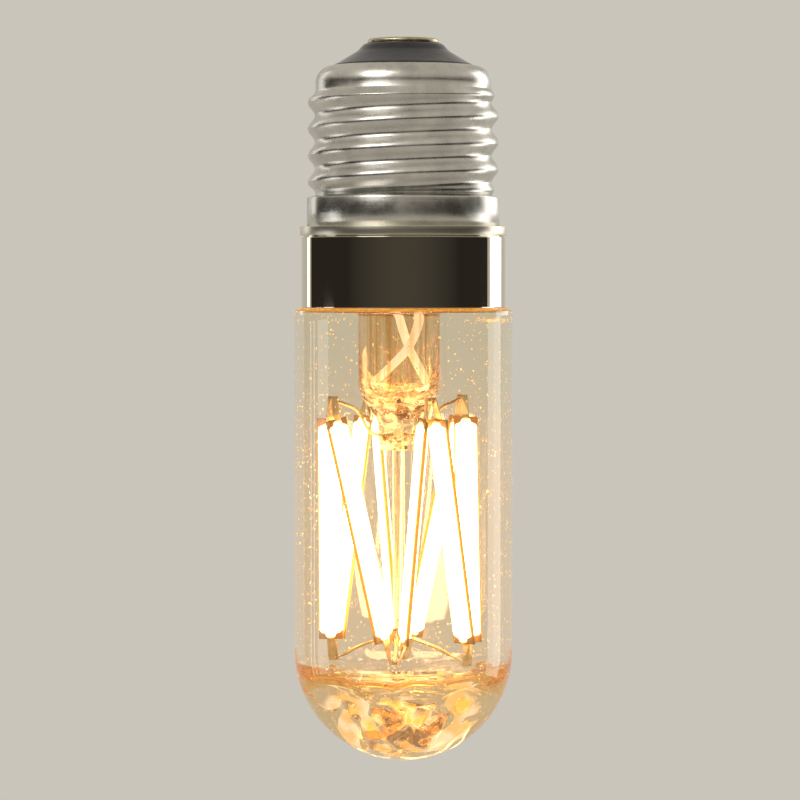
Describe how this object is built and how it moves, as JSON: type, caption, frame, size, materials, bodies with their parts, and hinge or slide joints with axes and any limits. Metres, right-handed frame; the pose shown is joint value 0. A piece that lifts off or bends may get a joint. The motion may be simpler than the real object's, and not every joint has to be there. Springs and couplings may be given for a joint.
{
  "type": "tubular filament lamp",
  "caption": "Clear tubular lamp with light-emitting filament strips on a glass stem, a polished collar and a screw cap; it lights when screwed into a lamp holder.",
  "frame": {"origin": "on the lamp's axis, at the joint between the screw cap's skirt and the collar", "axes": "+Z along the axis from the glass dome to the end contact (the lamp hangs cap up), +Y away from the side seen in the picture, +X to the right seen from that side"},
  "size_m": [0.03, 0.03, 0.099],
  "materials": {
    "cap_metal": "nickel-plated sheet metal, satin",
    "cap_glass": "black insulating glass, glossy",
    "contact_brass": "tinned brass, satin",
    "solder": "tin solder, satin",
    "polished_nickel": "polished nickel plate, slightly warm",
    "adhesive": "amber adhesive, glossy and speckled",
    "clear_glass": "clear blown glass, slightly warm",
    "mica": "mica sheet, silvery amber",
    "board": "white solder mask on glass-fibre board",
    "capacitor_sleeve": "shrunk plastic sleeve",
    "ferrite": "ferrite core, matt",
    "black_epoxy": "moulded black epoxy",
    "resistor_body": "lacquered ceramic",
    "red_insulation": "red plastic insulation",
    "black_insulation": "black plastic insulation",
    "stem_glass": "clear lead-free stem glass",
    "sleeve": "cream translucent sleeving",
    "nickel_wire": "drawn nickel-iron wire",
    "led_chip": "sapphire chips",
    "strip_ceramic": "translucent alumina",
    "phosphor": "phosphor in silicone, lit",
    "tab_steel": "stamped plated steel"
  },
  "bodies": {
    "root": {"screw_shell": "cap_metal", "cap_insulator": "cap_glass", "centre_contact": "contact_brass", "contact_solder": "solder", "collar": "polished_nickel", "rim_adhesive": "adhesive", "glass_tube": "clear_glass", "heat_disc": "mica", "driver_board": "board", "smoothing_capacitor": "capacitor_sleeve", "choke": "ferrite", "bridge_rectifier": "black_epoxy", "driver_chip": "black_epoxy", "fuse_resistor": "resistor_body", "live_wire": "red_insulation", "neutral_wire": "black_insulation", "stem_glass": "stem_glass", "exhaust_tube": "stem_glass", "centre_rod": "stem_glass", "lead_sleeve_left": "sleeve", "lead_sleeve_right": "sleeve", "lead_wire_left": "nickel_wire", "lead_wire_right": "nickel_wire", "anchor_wire_left": "nickel_wire", "anchor_wire_right": "nickel_wire", "support_wire_rear": "nickel_wire", "support_wire_left": "nickel_wire", "support_wire_front": "nickel_wire", "support_wire_right": "nickel_wire", "led_chips": "led_chip", "strip_plate_1": "strip_ceramic", "strip_plate_2": "strip_ceramic", "strip_plate_3": "strip_ceramic", "strip_plate_4": "strip_ceramic", "strip_plate_5": "strip_ceramic", "strip_plate_6": "strip_ceramic", "strip_plate_7": "strip_ceramic", "strip_plate_8": "strip_ceramic", "phosphor_coat_1": "phosphor", "phosphor_coat_2": "phosphor", "phosphor_coat_3": "phosphor", "phosphor_coat_4": "phosphor", "phosphor_coat_5": "phosphor", "phosphor_coat_6": "phosphor", "phosphor_coat_7": "phosphor", "phosphor_coat_8": "phosphor", "end_tabs_1": "tab_steel", "end_tabs_2": "tab_steel", "end_tabs_3": "tab_steel", "end_tabs_4": "tab_steel", "end_tabs_5": "tab_steel", "end_tabs_6": "tab_steel", "end_tabs_7": "tab_steel", "end_tabs_8": "tab_steel"}
  },
  "joints": []
}
